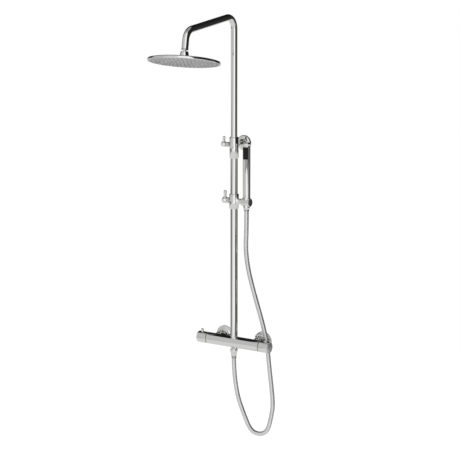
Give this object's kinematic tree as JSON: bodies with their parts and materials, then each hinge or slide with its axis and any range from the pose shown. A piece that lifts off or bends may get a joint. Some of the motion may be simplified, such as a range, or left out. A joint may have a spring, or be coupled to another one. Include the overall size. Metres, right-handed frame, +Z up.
{
  "type": "rainfall shower column",
  "caption": "Wall-held chrome shower column: thermostatic bar mixer, telescopic riser with swivelling arm, tilting round rain head, hand shower on a sliding holder and a flexible hose.",
  "frame": {"origin": "on the finished wall, midway between the two wall inlets at the height of the bar's axis", "axes": "+X to the user's right along the wall when facing it, +Y into the wall, +Z up"},
  "size_m": [0.2818, 0.4794, 1.3968],
  "materials": {
    "polished_chrome": "mirror-bright chrome plate",
    "satin_cap": "satin grey end disc",
    "steel": "plain stainless steel",
    "raw_brass": "machined brass",
    "engineering_plastic": "moulded acetal",
    "black_plastic": "black moulded plastic",
    "black_rubber": "sealing rubber",
    "grey_face": "matt grey spray plate",
    "nozzle_silicone": "dark grey soft nozzles",
    "jet_silicone": "light grey soft nozzles",
    "metal_hose": "smooth silver hose sheath"
  },
  "bodies": {
    "mixer_and_riser": {"valve_body": "polished_chrome", "thermostatic_cartridge": "engineering_plastic", "flow_cartridge": "engineering_plastic", "cartridge_nuts": "steel", "stop_rings": "engineering_plastic", "union_nuts": "polished_chrome", "wall_unions": "polished_chrome", "union_washers": "black_rubber", "escutcheons": "polished_chrome", "riser_spigot": "raw_brass", "riser_seals": "black_rubber", "lower_riser_pipe": "polished_chrome", "collar": "polished_chrome", "collar_bush": "engineering_plastic", "collar_clamp_pad": "engineering_plastic", "collar_ring": "black_plastic", "bracket_neck": "polished_chrome", "wall_flange": "polished_chrome", "wall_plate": "steel", "wall_screws": "steel", "hose_outlet": "polished_chrome", "hose_outlet_nut": "polished_chrome", "hose_outlet_crimp": "steel", "shower_hose": "metal_hose"},
    "temperature_control": {"temperature_knob": "polished_chrome", "temperature_spindle": "raw_brass", "temperature_knob_screw": "steel", "temperature_knob_cap": "satin_cap", "button_spring": "steel"},
    "button": {"safety_button": "polished_chrome"},
    "flow_control": {"flow_knob": "polished_chrome", "flow_spindle": "raw_brass", "flow_knob_screw": "steel", "flow_knob_cap": "satin_cap"},
    "collar_lever": {"collar_knob": "polished_chrome", "collar_knob_pin": "polished_chrome"},
    "arm_carriage": {"arm_gland": "engineering_plastic"},
    "arm": {"riser_arm": "polished_chrome", "ball_stud": "polished_chrome"},
    "seat": {"ball_seat": "engineering_plastic"},
    "head": {"ball_nut": "polished_chrome", "head_shell": "polished_chrome", "head_face": "grey_face", "head_seal": "black_rubber", "head_nozzles": "nozzle_silicone"},
    "liner": {"slider_liner": "engineering_plastic"},
    "slider": {"slider_body": "polished_chrome", "slider_clamp_pad": "engineering_plastic", "holder_washer": "engineering_plastic"},
    "slider_lever": {"slider_knob": "polished_chrome", "slider_knob_pin": "polished_chrome"},
    "holder": {"handset_holder": "polished_chrome", "holder_clip": "steel"},
    "handset": {"handset_body": "polished_chrome", "handset_cap": "polished_chrome", "handset_face": "black_plastic", "handset_nozzles": "jet_silicone", "handset_inlet": "raw_brass", "hose_cone_nut": "polished_chrome", "hose_handset_crimp": "steel"}
  },
  "joints": [
    {"name": "temperature_turn", "type": "hinge", "parent": "mixer_and_riser", "child": "temperature_control", "pos_m": [-0.119, -0.064, 0], "axis": [1, 0, 0], "range_deg": [-150, 150]},
    {"name": "button_press", "type": "slide", "parent": "temperature_control", "child": "button", "axis": [0, 0, -1], "range_m": [0, 0.0035], "stiffness_N_per_m": 600, "springref_m": -0.002, "deforming": ["button_spring"]},
    {"name": "flow_turn", "type": "hinge", "parent": "mixer_and_riser", "child": "flow_control", "pos_m": [0.119, -0.064, 0], "axis": [1, 0, 0], "range_deg": [-90, 90]},
    {"name": "collar_lever_turn", "type": "hinge", "parent": "mixer_and_riser", "child": "collar_lever", "pos_m": [-0.0385, -0.064, 0.659], "axis": [1, 0, 0], "range_deg": [-100, 100]},
    {"name": "arm_extend", "type": "slide", "parent": "mixer_and_riser", "child": "arm_carriage", "axis": [0, 0, 1], "range_m": [-0.12, 0.2]},
    {"name": "arm_swivel", "type": "hinge", "parent": "arm_carriage", "child": "arm", "pos_m": [0, -0.064, 0.36], "axis": [0, 0, 1], "range_deg": [-55, 55]},
    {"name": "head_tilt_side", "type": "hinge", "parent": "arm", "child": "seat", "pos_m": [0, -0.3477, 0.9753], "axis": [0, 1, 0], "range_deg": [-5.8, 13.7]},
    {"name": "head_tilt_front", "type": "hinge", "parent": "seat", "child": "head", "pos_m": [0, -0.3477, 0.9753], "axis": [1, 0, 0], "range_deg": [-7.4, 12.6]},
    {"name": "slider_slide", "type": "slide", "parent": "mixer_and_riser", "child": "liner", "axis": [0, 0, 1], "range_m": [-0.24, 0.08], "deforming": ["shower_hose"]},
    {"name": "slider_swivel", "type": "hinge", "parent": "liner", "child": "slider", "pos_m": [0, -0.064, 0.474], "axis": [0, 0, -1], "range_deg": [-15, 40]},
    {"name": "slider_lever_turn", "type": "hinge", "parent": "slider", "child": "slider_lever", "pos_m": [-0.034, -0.064, 0.475], "axis": [1, 0, 0], "range_deg": [-100, 100]},
    {"name": "holder_tilt", "type": "hinge", "parent": "slider", "child": "holder", "pos_m": [0.033, -0.064, 0.475], "axis": [1, 0, 0], "range_deg": [-5, 25]},
    {"name": "handset_lift", "type": "slide", "parent": "holder", "child": "handset", "axis": [0, 0, 1], "range_m": [0, 0.06]}
  ]
}
